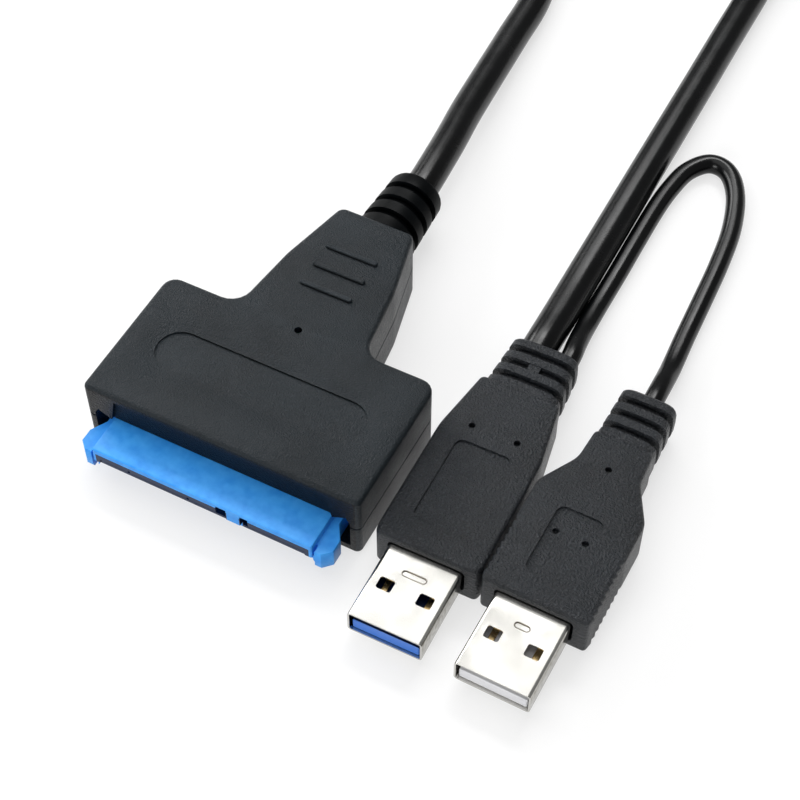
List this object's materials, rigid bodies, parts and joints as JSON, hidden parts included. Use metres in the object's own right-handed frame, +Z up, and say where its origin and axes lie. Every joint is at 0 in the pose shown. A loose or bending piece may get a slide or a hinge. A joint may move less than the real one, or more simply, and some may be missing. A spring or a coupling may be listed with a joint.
{
  "type": "usb to sata adapter",
  "caption": "Flat black drive adapter head with a blue keyed receptacle, a coiled cord to a USB 3 plug and a thin power lead on to a USB 2 plug.",
  "frame": {"origin": "under the middle of the adapter head, on the surface it rests on; the loose cord, coil, lead and plugs lie beside and behind it", "axes": "+Y from the receptacle to the cord, +Z up out of the upper cover, +X towards the two USB plugs"},
  "size_m": [0.0902, 0.2277, 0.0138],
  "materials": {
    "black_housing": "fine-grained moulded plastic",
    "black_grip": "fine-grained soft moulded plastic",
    "black_sleeve": "smooth moulded sleeve",
    "black_cord": "smooth, slightly glossy cord jacket",
    "blue_connector": "smooth moulded plastic",
    "white_insulator": "smooth moulded plastic",
    "nickel_shell": "bright nickel plate on folded sheet",
    "gold_contacts": "gold-plated spring strip",
    "circuit_board_green": "solder mask",
    "chip_black": "moulded package",
    "can_steel": "plain can",
    "capacitor_tan": "plain",
    "lamp_lens": "clear moulded lens"
  },
  "bodies": {
    "root": {"bridge_chip": "chip_black", "ceramic_capacitor": "capacitor_tan", "circuit_board": "circuit_board_green", "cord_sleeve": "black_sleeve", "cord_tie": "black_cord", "crystal_can": "can_steel", "lower_cover": "black_housing", "main_cord_coil": "black_cord", "main_cord_head_run": "black_cord", "main_cord_plug_run": "black_cord", "memory_chip": "chip_black", "power_contact_01": "gold_contacts", "power_contact_02": "gold_contacts", "power_contact_03": "gold_contacts", "power_contact_04": "gold_contacts", "power_contact_05": "gold_contacts", "power_contact_06": "gold_contacts", "power_contact_07": "gold_contacts", "power_contact_08": "gold_contacts", "power_contact_09": "gold_contacts", "power_contact_10": "gold_contacts", "power_contact_11": "gold_contacts", "power_contact_12": "gold_contacts", "power_contact_13": "gold_contacts", "power_contact_14": "gold_contacts", "power_contact_15": "gold_contacts", "power_inductor": "chip_black", "power_lead": "black_cord", "sata_connector_body": "blue_connector", "signal_contact_01": "gold_contacts", "signal_contact_02": "gold_contacts", "signal_contact_03": "gold_contacts", "signal_contact_04": "gold_contacts", "signal_contact_05": "gold_contacts", "signal_contact_06": "gold_contacts", "signal_contact_07": "gold_contacts", "status_lamp": "lamp_lens", "upper_cover": "black_housing", "usb2_contact_1": "gold_contacts", "usb2_contact_2": "gold_contacts", "usb2_contact_3": "gold_contacts", "usb2_contact_4": "gold_contacts", "usb2_grip": "black_grip", "usb2_insulator": "white_insulator", "usb2_shell": "nickel_shell", "usb3_contact_1": "gold_contacts", "usb3_contact_2": "gold_contacts", "usb3_contact_3": "gold_contacts", "usb3_contact_4": "gold_contacts", "usb3_finger_1": "gold_contacts", "usb3_finger_2": "gold_contacts", "usb3_finger_3": "gold_contacts", "usb3_finger_4": "gold_contacts", "usb3_finger_5": "gold_contacts", "usb3_grip": "black_grip", "usb3_insulator": "blue_connector", "usb3_shell": "nickel_shell"}
  },
  "joints": []
}
